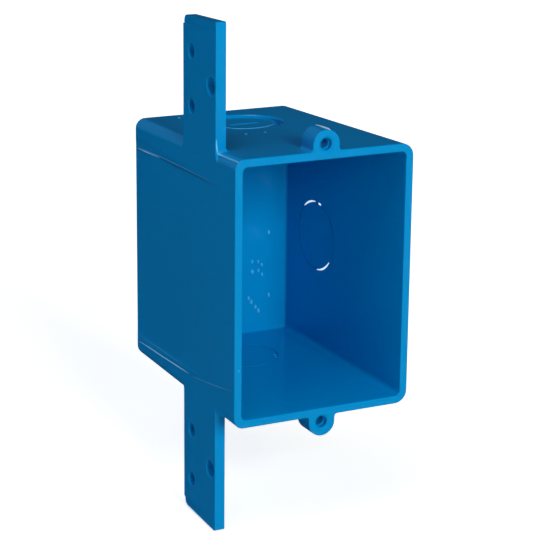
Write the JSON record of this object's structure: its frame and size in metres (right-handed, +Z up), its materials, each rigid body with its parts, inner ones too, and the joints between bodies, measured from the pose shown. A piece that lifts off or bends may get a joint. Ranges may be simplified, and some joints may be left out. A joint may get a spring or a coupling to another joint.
{
  "type": "outlet box",
  "caption": "Open rectangular wall box for one device, with a nailing strap flush with one side, screw ears at the mouth and round knockouts in its walls.",
  "frame": {"origin": "middle of the front rim's plane, halfway between the two device screws", "axes": "+X to the right seen from the front, away from the stud; +Y into the wall, towards the back of the box; +Z up, along the strap and the line of the device screws"},
  "size_m": [0.0572, 0.0724, 0.1524],
  "materials": {
    "moulded_shell": "moulded blue PVC, semi-gloss"
  },
  "bodies": {
    "root": {"outlet_box": "moulded_shell"}
  },
  "joints": []
}
